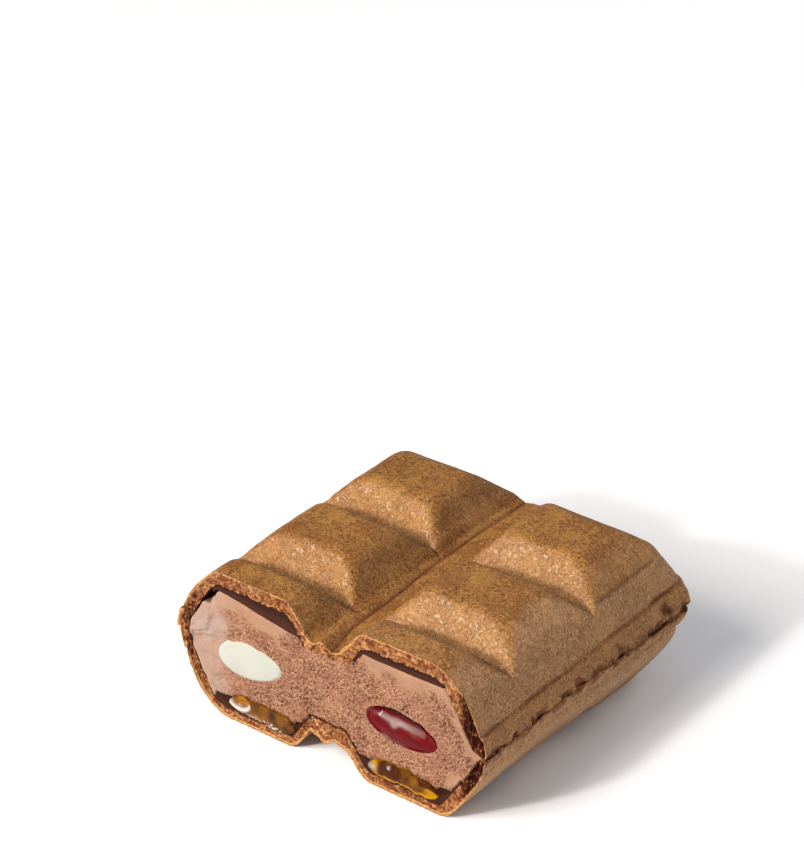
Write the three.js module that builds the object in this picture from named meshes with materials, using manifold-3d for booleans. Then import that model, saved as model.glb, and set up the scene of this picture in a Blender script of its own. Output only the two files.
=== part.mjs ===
import * as THREE from "three";
import { mergeVertices } from "three/addons/utils/BufferGeometryUtils.js";
import Module from "manifold-3d";

// Half of a wafer-shell ice cream bar, cut through the middle of a row of blocks.
// Millimetres, +Z up. X runs across the two columns of blocks and Y from the cut to the closed end.
// Shapes are worked out from the seam between the two shells: z = 0 there, y = 0 at the cut.

const wasm = await Module();
wasm.setup();

// The whole half.
const width = 70; // flange to flange, across both columns
const length = 64; // cut face to the flange at the closed end
const height = 31.3; // lower block faces to upper block faces
const cornerRadius = 3.2; // flange corners at the closed end, seen from above
const gap = 0.3; // clearance between pieces that touch
const pastCut = 1.5; // how far a cutting shape runs out through the cut face
const pastWafer = 1; // and how far it runs out into the wafer
const cavityStep = 0.4; // how far the cavity's upright rim stands in from the flanks' inner faces
const cavityCorner = 1.2; // radius of its corners, seen from above

// The blocks: truncated pyramids in two columns, three rows of them, the first one halved by the cut.
const rowPitch = 23.8;
const rowCount = 3;
const faceInner = 8; // the flat face's edge next to the valley between the columns
const faceHalfLength = 6.5; // half of its length along Y
const valleyHalf = 3.2; // half of the valley floor's width
const valleyAngle = 54; // the block's slopes, in degrees from level: to the valley,
const crossAngle = 50; // and to the groove between two rows
const endFlankAngle = 41; // the last row's slope at the closed end,
const endSideAngle = 64; // and the flank below it
const flangeLean = 0.9; // how far the flange draws in from the seam to its crease
const rimRise = 1; // upright part of the flange at the seam
const edgeRound = 1.6; // how far the rounding of a block's edges reaches
const blockCornerRound = 3.2; // that of its four upright corners
const creaseRound = 1.0; // and that of the creases between them
const cornerRound = 10; // and that of the upright edges where the flanks meet

// The two shells. Angles and walls of the long sides are given for -X and then for +X.
const upperShell = {
  grooveDepth: 6.6,
  faceOuter: 25.3, // the flat faces' edge next to the flank
  flankAngle: [47, 41], // the blocks' outer slopes
  sideAngle: [57, 62], // the flank below the blocks
  flangeRise: 4.3, // from the seam to the flange's crease
  wallFace: 3.0,
  wallFlank: 2.1,
  wallSide: [2.5, 3.6],
  wallGroove: 1.6,
  wallValley: 1.7,
};
const lowerShell = {
  grooveDepth: 5.2,
  faceOuter: 26.1,
  flankAngle: [43, 50],
  sideAngle: [64, 57],
  flangeRise: 4.1,
  wallFace: 2.0,
  wallFlank: 1.7,
  wallSide: [2.5, 2.7],
  wallGroove: 1.5,
  wallValley: 3.4,
};

// Chocolate plates under the upper faces: x from and to, underside at each of them.
const plateLeft = { from: -26, to: -5.4, under: [11.4, 8.5], least: 0.9 };
const plateRight = { from: 6.3, to: 25.3, under: [11.0, 11.2], least: 0.9 };
// Chocolate set in the lower faces: x from and to, its surface at each of them.
const troughLeft = { from: -26, to: -4.6, over: [-10.6, -9.0], least: 0.6 };
const troughRight = { from: 6.3, to: 28.2, over: [-9.6, -9.4], least: 0.6 };
// Sauce lying in that chocolate: middle, half width, underside and top in a block, top over a groove.
const sauceLeft = { middle: -15.4, half: 7.4, under: -12.4, over: -9.2, overGroove: -6.4 };
const sauceRight = { middle: 16.7, half: 7.3, under: -12.5, over: -10.0, overGroove: -6.4 };
// Cores inside the ice cream: middle, half width, half height and lean of the section, in degrees.
const creamCore = { x: -17.9, z: -0.9, halfWidth: 7.2, halfHeight: 3.8, lean: 5 };
const berryCore = { x: 16.5, z: -0.8, halfWidth: 7.6, halfHeight: 3.5, lean: 4 };
const sauceEdge = 0.3; // half of the sauce's least thickness, at its sides
const fillingEnd = 56.2; // how far from the cut the fillings run
const coreSides = 24;
const coreEndReach = 1.6; // a core's round end, in half heights
const lipShare = 0.7; // share of the clearance kept at the seam, where the two shells' inner faces meet
const leastStep = 0.3; // grid lines closer together than this become one

const halfHeight = height / 2;
const halfWidth = width / 2;
const slope = (degrees) => Math.tan(THREE.MathUtils.degToRad(degrees));
const plumb = (thickness, degrees) => thickness / Math.cos(THREE.MathUtils.degToRad(degrees));

// The lower of two heights with the corner between them rounded over, and the higher one likewise.
function softMin(a, b, reach) {
  const near = Math.max(reach - Math.abs(a - b), 0) / reach;
  return Math.min(a, b) - (near * near * reach) / 4;
}
const softMax = (a, b, reach) => -softMin(-a, -b, reach);

// Distance in from the flange's outline, which is straight at the cut and rounded at the closed end.
function inset(x, y) {
  const acrossCorner = Math.abs(x) - (halfWidth - cornerRadius);
  const alongCorner = y - (length - cornerRadius);
  if (acrossCorner > 0 && alongCorner > 0) return cornerRadius - Math.hypot(acrossCorner, alongCorner);
  return cornerRadius - Math.max(acrossCorner, alongCorner);
}

// Distance along Y from the middle of the nearest row of blocks; the last row's far side is left open.
function fromRow(y) {
  const row = THREE.MathUtils.clamp(Math.round(y / rowPitch), 0, rowCount - 1);
  return row === rowCount - 1 ? row * rowPitch - y : Math.abs(y - row * rowPitch);
}

// Height of a shell's outer face over the seam; with walls, of its inner face, clear of it by `away`.
// A block is the lowest of its flat face and four slopes; the grooves are the highest of block and floor;
// the flanks below the blocks bound both.
function shellRise(x, y, shell, walls = false, away = 0) {
  const u = Math.abs(x);
  const hand = x < 0 ? 0 : 1;
  const face = halfHeight - (walls ? shell.wallFace + away : 0);
  const lining = walls ? shell.wallFlank + away : 0;
  const sideLining = walls ? shell.wallSide[hand] + away : 0;
  const falling = (angle, distance) => halfHeight - plumb(lining, angle) - slope(angle) * distance;
  const rising = (angle, distance) =>
    shell.flangeRise + slope(angle) * (distance - flangeLean) - plumb(sideLining, angle);
  const pastLastFace = y - ((rowCount - 1) * rowPitch + faceHalfLength);
  const acrossBlock = softMin(
    falling(valleyAngle, faceInner - u),
    falling(shell.flankAngle[hand], u - shell.faceOuter),
    edgeRound,
  );
  const alongBlock = softMin(
    falling(crossAngle, fromRow(y) - faceHalfLength),
    falling(endFlankAngle, pastLastFace),
    edgeRound,
  );
  const block = softMin(face, softMin(acrossBlock, alongBlock, blockCornerRound), edgeRound);
  const inValley = 1 - THREE.MathUtils.smoothstep(u, valleyHalf, faceInner);
  const floorWall = walls ? THREE.MathUtils.lerp(shell.wallGroove, shell.wallValley, inValley) + away : 0;
  const relief = softMax(block, halfHeight - shell.grooveDepth - floorWall, creaseRound);
  const side = softMin(
    rising(shell.sideAngle[hand], halfWidth - u),
    rising(endSideAngle, length - y),
    cornerRound,
  );
  if (walls) return Math.max(softMin(relief, side, creaseRound), gap - lipShare * away);
  const flangeSlope = (shell.flangeRise - rimRise) / flangeLean;
  const flange = rimRise + flangeSlope * Math.max(inset(x, y), 0);
  return Math.min(softMin(relief, side, creaseRound), flange);
}

// Grid lines: both sides of every edge and crease, mirrored across X, or repeated at every row.
function sortedLines(values) {
  const sorted = [...values].sort((a, b) => a - b);
  return sorted.filter((value, index) => index === 0 || value - sorted[index - 1] >= leastStep);
}

function linesAcross(edge, fine) {
  const inner = faceInner;
  const outer = upperShell.faceOuter;
  const valleyFoot = fine ? [valleyHalf - 1, valleyHalf, valleyHalf + 1.1] : [valleyHalf];
  const valleyEdge = fine ? [inner - 1.2, inner, inner + 1.2] : [inner - 1.7, inner + 0.6];
  const faceMiddle = fine ? [(inner + outer) / 2] : [];
  const flankEdge = fine ? [outer - 1.2, outer, outer + 1.4] : [outer - 0.8, outer + 0.7];
  const flank = fine ? [28.6, 30.4, 31.9, edge - flangeLean, edge] : [28.2, 30.2, edge];
  const block = [...valleyFoot, ...valleyEdge, ...faceMiddle, ...flankEdge, ...flank];
  const half = block.filter((u) => u <= edge);
  return sortedLines([0, ...half, ...half.map((u) => -u)]);
}

function linesAlong(end, fine) {
  const rowLines = fine ? [0, 5.3, 6.6, 8.2, 9.8, 11] : [0, 6.3, 10.7];
  const lines = [];
  for (let row = 0; row < rowCount; row++) {
    for (const line of rowLines) lines.push(row * rowPitch + line, row * rowPitch - line);
    if (row > 0) lines.push((row - 0.5) * rowPitch);
  }
  const endFlank = fine ? [59.2, 60.4, 61.7, length - flangeLean] : [fillingEnd, 59.8];
  const inside = [...lines, ...endFlank].filter((y) => y >= 0 && y <= end - leastStep);
  return sortedLines([...inside, end]);
}

// A grid point, moved so that the grid's square corners become the footprint's round ones.
function onFootprint(x, y, edge, end, radius) {
  const acrossCorner = (Math.abs(x) - (edge - radius)) / radius;
  const alongCorner = (y - (end - radius)) / radius;
  if (acrossCorner <= 0 || alongCorner <= 0) return [x, y];
  const across = acrossCorner * Math.sqrt(1 - alongCorner ** 2 / 2);
  const along = alongCorner * Math.sqrt(1 - acrossCorner ** 2 / 2);
  return [Math.sign(x) * (edge - radius + radius * across), end - radius + radius * along];
}

// A closed body between two height functions over a grid, as a solid that can be cut and joined.
function sheetSolid(linesX, linesY, over, under, place = (x, y) => [x, y]) {
  const columns = linesX.length;
  const rows = linesY.length;
  const vertices = [];
  for (const height of [over, under])
    for (const lineY of linesY)
      for (const lineX of linesX) {
        const [x, y] = place(lineX, lineY);
        vertices.push(x, y, height(x, y));
      }
  const at = (layer, i, j) => layer * columns * rows + j * columns + i;
  const faces = [];
  const quad = (a, b, c, d) => faces.push(a, b, c, a, c, d);
  for (let j = 0; j < rows - 1; j++)
    for (let i = 0; i < columns - 1; i++) {
      quad(at(0, i, j), at(0, i + 1, j), at(0, i + 1, j + 1), at(0, i, j + 1));
      quad(at(1, i, j + 1), at(1, i + 1, j + 1), at(1, i + 1, j), at(1, i, j));
    }
  for (let i = 0; i < columns - 1; i++) {
    quad(at(1, i, 0), at(1, i + 1, 0), at(0, i + 1, 0), at(0, i, 0));
    quad(at(0, i, rows - 1), at(0, i + 1, rows - 1), at(1, i + 1, rows - 1), at(1, i, rows - 1));
  }
  for (let j = 0; j < rows - 1; j++) {
    quad(at(0, 0, j), at(0, 0, j + 1), at(1, 0, j + 1), at(1, 0, j));
    quad(at(1, columns - 1, j), at(1, columns - 1, j + 1), at(0, columns - 1, j + 1), at(0, columns - 1, j));
  }
  return solidFrom(vertices, faces);
}

// A rod along Y: rings of a leaning ellipse that close to a point at both ends or run out at the first.
function coreSolid(core, grow, start) {
  const lean = THREE.MathUtils.degToRad(core.lean);
  const roundEnd = core.halfHeight * coreEndReach;
  const rings = [{ y: start, scale: 1 }];
  for (const turn of [0, 0.35, 0.65, 0.88]) {
    const angle = (turn * Math.PI) / 2;
    rings.push({ y: fillingEnd + grow - roundEnd * (1 - Math.sin(angle)), scale: Math.cos(angle) });
  }
  const vertices = [];
  for (const { y, scale } of rings)
    for (let side = 0; side < coreSides; side++) {
      const angle = (side / coreSides) * Math.PI * 2;
      const across = Math.cos(angle) * (core.halfWidth + grow) * scale;
      const up = Math.sin(angle) * (core.halfHeight + grow) * scale;
      vertices.push(core.x + across * Math.cos(lean) - up * Math.sin(lean), y);
      vertices.push(core.z + across * Math.sin(lean) + up * Math.cos(lean));
    }
  const startPoint = vertices.push(core.x, start, core.z) / 3 - 1;
  const endPoint = vertices.push(core.x, fillingEnd + grow, core.z) / 3 - 1;
  const faces = [];
  for (let side = 0; side < coreSides; side++) {
    const next = (side + 1) % coreSides;
    faces.push(startPoint, side, next);
    for (let ring = 0; ring < rings.length - 1; ring++) {
      const near = ring * coreSides;
      const far = near + coreSides;
      faces.push(near + side, far + side, far + next, near + side, far + next, near + next);
    }
    const last = (rings.length - 1) * coreSides;
    faces.push(last + side, endPoint, last + next);
  }
  return solidFrom(vertices, faces);
}

function solidFrom(vertices, faces) {
  const geometry = new THREE.BufferGeometry();
  geometry.setAttribute("position", new THREE.Float32BufferAttribute(vertices, 3));
  geometry.setIndex(faces);
  const merged = mergeVertices(geometry, 1e-3);
  const mesh = new wasm.Mesh({
    numProp: 3,
    vertProperties: merged.attributes.position.array,
    triVerts: new Uint32Array(merged.index.array),
  });
  return new wasm.Manifold(mesh);
}

function geometryFrom(solid) {
  const mesh = solid.getMesh();
  const geometry = new THREE.BufferGeometry();
  geometry.setAttribute("position", new THREE.BufferAttribute(mesh.vertProperties, 3));
  geometry.setIndex(new THREE.BufferAttribute(mesh.triVerts, 1));
  const flat = geometry.toNonIndexed();
  flat.computeVertexNormals();
  return flat;
}

// A wafer shell: the block relief outside, with the filling's cavity cut out of it from the seam.
// The sign is 1 for the shell above the seam and -1 for the one below it.
function waferShell(shell, sign) {
  const seam = sign * (gap / 2);
  const outer = (x, y) => sign * shellRise(x, y, shell);
  const outerPlace = (x, y) => onFootprint(x, y, halfWidth, length, cornerRadius);
  const linesX = linesAcross(halfWidth, true);
  const linesY = linesAlong(length, true);
  const body =
    sign > 0
      ? sheetSolid(linesX, linesY, outer, () => seam, outerPlace)
      : sheetSolid(linesX, linesY, () => seam, outer, outerPlace);
  const inner = (x, y) => sign * shellRise(x, Math.max(y, 0), shell, true);
  const below = () => -sign * gap;
  const cavity =
    sign > 0 ? cavitySolid(inner, below, 0, pastCut) : cavitySolid(below, inner, 0, pastCut);
  return body.subtract(cavity);
}

// The space inside the shells, or what fills it when it is drawn in by a gap.
function cavitySolid(over, under, away, past) {
  const edge = halfWidth - upperShell.wallSide[0] - cavityStep - away;
  const end = length - upperShell.wallSide[0] - cavityStep - away;
  const linesY = linesAlong(end, false);
  if (past > 0) linesY.unshift(-past);
  const place = (x, y) => onFootprint(x, y, edge, end, cavityCorner + 4 * away);
  return sheetSolid(linesAcross(edge, false), linesY, over, under, place);
}

// Lines of the coarse grid between a piece's two sides, with a line on each side.
function linesBetween({ from, to }, grow) {
  const clear = 2 * leastStep;
  const inside = linesAcross(halfWidth, false).filter((x) => x > from + clear && x < to - clear);
  return [from - grow, ...inside, to + grow];
}

function fillingLines(grow, past) {
  const lines = linesAlong(fillingEnd + grow, false);
  if (past > 0) lines.unshift(-past);
  return lines;
}

// A chocolate plate: its upper face follows the wafer, its underside is nearly level in a block.
function plateSolid(plate, grow, past) {
  const top = (x, y) => shellRise(x, Math.max(y, 0), upperShell, true, gap);
  const level = (x) => THREE.MathUtils.mapLinear(x, plate.from, plate.to, plate.under[0], plate.under[1]);
  const under = (x, y) => Math.min(level(x), top(x, y) - plate.least) - grow;
  const over = (x, y) => top(x, y) + (grow > 0 ? pastWafer : 0);
  return sheetSolid(linesBetween(plate, grow), fillingLines(grow, past), over, under);
}

// Chocolate set in the lower shell: level in a block, a thin lining over the grooves.
function troughSolid(trough, grow, past) {
  const wafer = (x, y) => -shellRise(x, Math.max(y, 0), lowerShell, true, gap);
  const level = (x) => THREE.MathUtils.mapLinear(x, trough.from, trough.to, trough.over[0], trough.over[1]);
  const over = (x, y) => Math.max(level(x), wafer(x, y) + trough.least) + grow;
  const under = (x, y) => wafer(x, y) - (grow > 0 ? pastWafer : 0);
  return sheetSolid(linesBetween(trough, grow), fillingLines(grow, past), over, under);
}

// Sauce: a lens across X that thins where it passes over a groove of the lower shell.
function sauceSolid(sauce, trough, grow, past) {
  const wafer = (x, y) => -shellRise(x, Math.max(y, 0), lowerShell, true, gap);
  const inBlock = wafer(sauce.middle, 0);
  const groove = wafer(sauce.middle, rowPitch / 2);
  const overGroove = (y) =>
    THREE.MathUtils.clamp((wafer(sauce.middle, y) - inBlock) / (groove - inBlock), 0, 1);
  const bulge = (x) => Math.sqrt(Math.max(1 - Math.abs((x - sauce.middle) / (sauce.half + grow)) ** 3, 0));
  const under = (x, y) => {
    const bottom = Math.max(sauce.under, wafer(x, y) + trough.least + 1.75 * gap);
    const middle = (sauce.under + sauce.over) / 2;
    return Math.max(bottom, middle - sauceEdge - (middle - sauce.under) * bulge(x)) - grow;
  };
  const over = (x, y) => {
    const crest = THREE.MathUtils.lerp(sauce.over, sauce.overGroove, overGroove(y));
    const middle = (sauce.under + sauce.over) / 2;
    const lens = middle + sauceEdge + (crest - middle) * bulge(x);
    return Math.max(lens, under(x, y) + 2 * sauceEdge + grow) + grow;
  };
  const linesX = [];
  const steps = 6;
  for (let step = 0; step <= steps; step++)
    linesX.push(sauce.middle - (sauce.half + grow) * Math.cos((step / steps) * Math.PI));
  return sheetSolid(linesX, fillingLines(grow, past), over, under);
}

// The ice cream: all of the space inside the shells, less the fillings that lie in it.
function iceCreamSolid() {
  const over = (x, y) => shellRise(x, y, upperShell, true, gap);
  const under = (x, y) => -shellRise(x, y, lowerShell, true, gap);
  let body = cavitySolid(over, under, gap, 0);
  for (const plate of [plateLeft, plateRight]) body = body.subtract(plateSolid(plate, gap, pastCut));
  for (const trough of [troughLeft, troughRight]) body = body.subtract(troughSolid(trough, gap, pastCut));
  body = body.subtract(sauceSolid(sauceLeft, troughLeft, gap, pastCut));
  body = body.subtract(sauceSolid(sauceRight, troughRight, gap, pastCut));
  for (const core of [creamCore, berryCore]) body = body.subtract(coreSolid(core, gap, -pastCut));
  return body;
}

const chocolateSet = (trough, sauce) =>
  troughSolid(trough, 0, 0).subtract(sauceSolid(sauce, trough, gap, pastCut));

const bar = new THREE.Group();
bar.name = "ice_cream_bar_half";
bar.position.set(0, -length / 2, halfHeight);

function addPiece(name, solid, color, roughness) {
  const material = new THREE.MeshStandardMaterial({ color, roughness, metalness: 0 });
  const mesh = new THREE.Mesh(geometryFrom(solid), material);
  mesh.name = name;
  bar.add(mesh);
}

addPiece("wafer_upper", waferShell(upperShell, 1), "#a9743f", 0.8);
addPiece("wafer_lower", waferShell(lowerShell, -1), "#a9743f", 0.8);
addPiece("ice_cream", iceCreamSolid(), "#b98872", 0.6);
addPiece("chocolate_plate_left", plateSolid(plateLeft, 0, 0), "#4f2f2a", 0.4);
addPiece("chocolate_plate_right", plateSolid(plateRight, 0, 0), "#4f2f2a", 0.4);
addPiece("chocolate_lining_left", chocolateSet(troughLeft, sauceLeft), "#4f2f2a", 0.4);
addPiece("chocolate_lining_right", chocolateSet(troughRight, sauceRight), "#4f2f2a", 0.4);
addPiece("cream_core", coreSolid(creamCore, 0, 0), "#ece7d6", 0.5);
addPiece("berry_core", coreSolid(berryCore, 0, 0), "#7d1420", 0.15);
addPiece("sauce_left", sauceSolid(sauceLeft, troughLeft, 0, 0), "#8a6018", 0.15);
addPiece("sauce_right", sauceSolid(sauceRight, troughRight, 0, 0), "#d8a010", 0.15);

export default bar;
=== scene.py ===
import math

import bmesh
import bpy
import numpy as np
from mathutils import Matrix, Vector


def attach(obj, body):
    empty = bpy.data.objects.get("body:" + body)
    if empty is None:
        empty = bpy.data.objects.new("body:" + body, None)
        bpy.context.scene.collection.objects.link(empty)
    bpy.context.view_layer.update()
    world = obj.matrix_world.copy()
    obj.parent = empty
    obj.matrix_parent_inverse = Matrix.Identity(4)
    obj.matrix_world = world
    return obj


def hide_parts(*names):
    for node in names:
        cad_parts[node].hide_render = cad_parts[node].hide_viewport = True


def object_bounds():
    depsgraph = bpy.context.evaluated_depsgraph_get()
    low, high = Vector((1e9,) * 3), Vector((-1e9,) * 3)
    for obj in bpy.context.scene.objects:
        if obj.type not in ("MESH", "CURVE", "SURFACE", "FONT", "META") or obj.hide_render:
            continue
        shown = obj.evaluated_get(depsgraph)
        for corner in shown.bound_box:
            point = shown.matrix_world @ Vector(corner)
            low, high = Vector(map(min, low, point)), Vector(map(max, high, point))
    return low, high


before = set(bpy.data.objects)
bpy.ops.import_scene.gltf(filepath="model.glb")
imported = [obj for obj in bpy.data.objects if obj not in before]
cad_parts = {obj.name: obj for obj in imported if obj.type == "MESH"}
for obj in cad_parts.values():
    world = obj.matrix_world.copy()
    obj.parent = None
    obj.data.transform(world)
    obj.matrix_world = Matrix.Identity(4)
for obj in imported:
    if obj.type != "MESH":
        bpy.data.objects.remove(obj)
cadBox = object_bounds()

# Half of a wafer-shell ice cream bar, cut through a row of blocks, on a pale table.
# Shapes are worked out in millimetres from the seam between the shells (z = 0) and the cut (y = 0).
cadSize = (np.array(cadBox[1]) - np.array(cadBox[0])) * 1000
bar = {
    "halfWidth": cadSize[0] / 2,
    "length": cadSize[1],
    "halfHeight": cadSize[2] / 2,
    "cornerRadius": 3.2,  # flange corners at the closed end
    "rowPitch": 23.8,  # blocks' spacing along the bar
    "rowCount": 3,  # the first row is halved by the cut
    "faceInner": 8,  # flat face's edge next to the valley between the columns
    "faceHalfLength": 6.5,
    "valleyHalf": 3.2,
    "valleyAngle": 54,  # slopes in degrees from level
    "crossAngle": 50,
    "endFlankAngle": 41,
    "endSideAngle": 64,
    "flangeLean": 0.9,  # how far the flange draws in from the seam to its crease
    "rimRise": 1.0,  # upright part of the flange
    "seam": 0.15,  # from the middle of the seam to a shell
    "edgeRound": 1.6,
    "faceRound": 2.1,  # round the flat faces, outside
    "arrisRound": (1.1, 3.0),  # blocks' upright arrises, at the groove and at the top
    "creaseRound": 0.8,
    "cornerRound": 10,
    "fillingEnd": 56.2,  # how far from the cut the fillings run
}
# Pairs are for -X and then for +X. Tears are places along the flange, each with its height.
upperShell = {
    "sign": 1, "seed": 11, "grooveDepth": 6.6, "faceOuter": 25.3, "flankAngle": (47, 41),
    "sideAngle": (57, 62), "flangeRise": 4.3, "wallFace": 3.0, "wallFlank": 2.1,
    "wallSide": (2.5, 3.6), "wallGroove": 1.6, "wallValley": 1.7,
    "tears": ((4.3, 1.6), (16.0, 2.0), (28.0, 2.7), (41.0, 3.4), (50.5, 1.6), (61.0, 2.0)),
    "crumple": 1.3,  # depth of the crushed hollow near the far corner, mm
    "frosted": 1.0,  # share of the frost on its slopes and flanks
    "flangeFrost": 0.42,
    "paleEdge": 0.38,  # how much the skin's cut edge pales, at most 0.45; the pale skin is real, and it is paler on this shell than on the lower one as painted light from above
    "setBack": 0.0,  # how far the rim stands back, mm
    "swelling": 0.0,  # how much the flank on +X swells towards the closed end, mm
}
lowerShell = {
    "sign": -1, "seed": 23, "grooveDepth": 5.2, "faceOuter": 26.1, "flankAngle": (43, 50),
    "sideAngle": (64, 57), "flangeRise": 4.1, "wallFace": 2.0, "wallFlank": 1.7,
    "wallSide": (2.5, 2.7), "wallGroove": 1.5, "wallValley": 3.4,
    "tears": ((10.3, 1.3), (21.5, 2.0), (34.0, 2.4), (48.0, 3.0), (59.0, 2.2)),
    "crumple": 0.6,
    "frosted": 2.2,
    "flangeFrost": 0.9,
    "paleEdge": 0.15,
    "setBack": 0.65,
    "swelling": 1.4,
}


def softMin(a, b, reach):
    # the lower of two heights, less a parabola of that reach over the corner where they cross
    near = np.maximum(reach - np.abs(a - b), 0) / reach
    return np.minimum(a, b) - near * near * reach / 4


def softMax(a, b, reach):
    # the higher of two heights, filled by the same parabola
    return -softMin(-a, -b, reach)


def ramp(value, low, high):
    # 0 up to low, 1 from high on, and a smooth step between them
    t = np.clip((value - low) / (high - low), 0, 1)
    return t * t * (3 - 2 * t)


def fade(value, low, high):
    # the other way round: 1 up to low and 0 from high on
    return 1 - ramp(value, low, high)


def bell(value, middle, reach):
    # 1 in the middle, falling off smoothly to both sides
    return np.exp(-((value - middle) / reach) ** 2)


def fold(value, middle, reach):
    # a sharp crease: 1 in the middle, falling off to both sides
    return np.exp(-np.abs(value - middle) / reach)


def insetFrom(x, y, edge, end, radius):
    # distance in from an outline that is straight at the cut and has round corners at the far end
    across = np.abs(x) - (edge - radius)
    along = y - (end - radius)
    corner = np.hypot(np.maximum(across, 0), np.maximum(along, 0))
    return radius - np.where((across > 0) & (along > 0), corner, np.maximum(across, along))


def rimInset(x, y):
    # the same from the shells' rim
    return insetFrom(x, y, bar["halfWidth"], bar["length"], bar["cornerRadius"])


def fromRow(y):
    # distance along the bar from the middle of the nearest block, without the last block's far side
    row = np.clip(np.round(y / bar["rowPitch"]), 0, bar["rowCount"] - 1)
    fromMiddle = y - row * bar["rowPitch"]
    return np.where(row == bar["rowCount"] - 1, -fromMiddle, np.abs(fromMiddle))


def shellRise(x, y, shell, walls=False):
    # A block is the lowest of its flat face and four slopes, the grooves are the highest of block and
    # floor, and the flanks below the blocks bound both. With walls it is the shell's inner face.
    u, top = np.abs(x), bar["halfHeight"]
    slope = lambda angle: np.tan(np.radians(angle))
    plumb = lambda thickness, angle: thickness / np.cos(np.radians(angle))
    side = lambda pair: np.where(x < 0, pair[0], pair[1])
    lining, sideLining = (shell["wallFlank"], side(shell["wallSide"])) if walls else (0, 0)
    falling = lambda angle, distance: top - plumb(lining, angle) - slope(angle) * distance
    rising = lambda angle, distance: (
        shell["flangeRise"] + slope(angle) * (distance - bar["flangeLean"]) - plumb(sideLining, angle))
    pastLastFace = y - ((bar["rowCount"] - 1) * bar["rowPitch"] + bar["faceHalfLength"])
    acrossBlock = softMin(falling(bar["valleyAngle"], bar["faceInner"] - u),
                          falling(side(shell["flankAngle"]), u - shell["faceOuter"]), bar["edgeRound"])
    alongBlock = softMin(falling(bar["crossAngle"], fromRow(y) - bar["faceHalfLength"]),
                         falling(bar["endFlankAngle"], pastLastFace), bar["edgeRound"])
    upTheBlock = ramp(np.minimum(acrossBlock, alongBlock), top - shell["grooveDepth"], top)
    arris = bar["arrisRound"][0] + (bar["arrisRound"][1] - bar["arrisRound"][0]) * upTheBlock
    block = softMin(top - (shell["wallFace"] if walls else 0), softMin(acrossBlock, alongBlock, arris),
                    bar["edgeRound"] if walls else bar["faceRound"])
    inValley = fade(u, bar["valleyHalf"], bar["faceInner"])
    floorWall = shell["wallGroove"] + (shell["wallValley"] - shell["wallGroove"]) * inValley
    floor = top - shell["grooveDepth"] - (floorWall if walls else 0)
    flanks = softMin(rising(side(shell["sideAngle"]), bar["halfWidth"] - u),
                     rising(bar["endSideAngle"], bar["length"] - y), bar["cornerRound"])
    bounded = softMin(softMax(block, floor, bar["creaseRound"]), flanks, bar["creaseRound"])
    if walls:
        return bounded
    flangeSlope = (shell["flangeRise"] - bar["rimRise"]) / bar["flangeLean"]
    return np.minimum(bounded, bar["rimRise"] + flangeSlope * np.maximum(rimInset(x, y), 0))


def onFootprint(x, y):
    # squares the circle: a grid's square corners are moved to the footprint's round ones
    edge, end, radius = bar["halfWidth"], bar["length"], bar["cornerRadius"]
    across = (np.abs(x) - (edge - radius)) / radius
    along = (y - (end - radius)) / radius
    corner = (across > 0) & (along > 0)
    a, b = np.clip(across, 0, 1), np.clip(along, 0, 1)
    roundX = np.sign(x) * (edge - radius + radius * a * np.sqrt(1 - b * b / 2))
    roundY = end - radius + radius * b * np.sqrt(1 - a * a / 2)
    return np.where(corner, roundX, x), np.where(corner, roundY, y)


def noise(x, y, size, seed):
    # random heights from -1 to 1 on a square lattice of that size, joined by smooth steps
    table = np.random.default_rng(seed).uniform(-1, 1, (128, 128))
    u, v = x / size, y / size
    i, j = np.floor(u).astype(int), np.floor(v).astype(int)
    s, t = ramp(u - i, 0, 1), ramp(v - j, 0, 1)
    at = lambda di, dj: table[(i + di) % 128, (j + dj) % 128]
    return (at(0, 0) * (1 - s) + at(1, 0) * s) * (1 - t) + (at(0, 1) * (1 - s) + at(1, 1) * s) * t


def waves(x, y, layers, seed=0):
    # the sum of random heights, each layer with its height, its size and what it adds to the seed
    return sum(height * noise(x, y, size, seed + more) for height, size, more in layers)


def spot(x, y, midX, midY, wide, high):
    # 1 in the middle of an ellipse of that half width and half height, falling off round it
    return bell(np.hypot((x - midX) / wide, (y - midY) / high), 0, 1)


def dimples(x, y, spacing, wide, seed, warp=0.35):
    # bowls round jittered lattice points, 1 in the middle of a bowl and 0 from its rim outwards, on a
    # warped lattice so that no two have the same outline
    x, y = (x + warp * spacing * noise(x, y, 0.8 * spacing, seed + 100),
            y + warp * spacing * noise(x, y, 0.8 * spacing, seed + 200))
    rng = np.random.default_rng(seed)
    jitter = rng.uniform(0.05, 0.95, (64, 64, 2))
    radius = rng.uniform(wide[0], wide[1], (64, 64))
    i, j = np.floor(x / spacing).astype(int), np.floor(y / spacing).astype(int)
    deepest = np.zeros(np.broadcast(x, y).shape)
    for di in (-1, 0, 1):
        for dj in (-1, 0, 1):
            a, b = (i + di) % 64, (j + dj) % 64
            away = np.hypot(x - (i + di + jitter[a, b, 0]) * spacing,
                            y - (j + dj + jitter[a, b, 1]) * spacing)
            deepest = np.maximum(deepest, 1 - (away / radius[a, b]) ** 2)
    return np.clip(deepest, 0, 1)


def linesByLength(position, height, count, closer):
    # lines at equal steps along a profile, so that steep stretches get as many as level ones, and
    # more of them where closer is above 1
    step = np.hypot(np.diff(position), np.diff(height)) * (closer[1:] + closer[:-1]) / 2
    travelled = np.concatenate([[0], np.cumsum(step)])
    return np.interp(np.linspace(0, travelled[-1], count), travelled, position)


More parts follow.
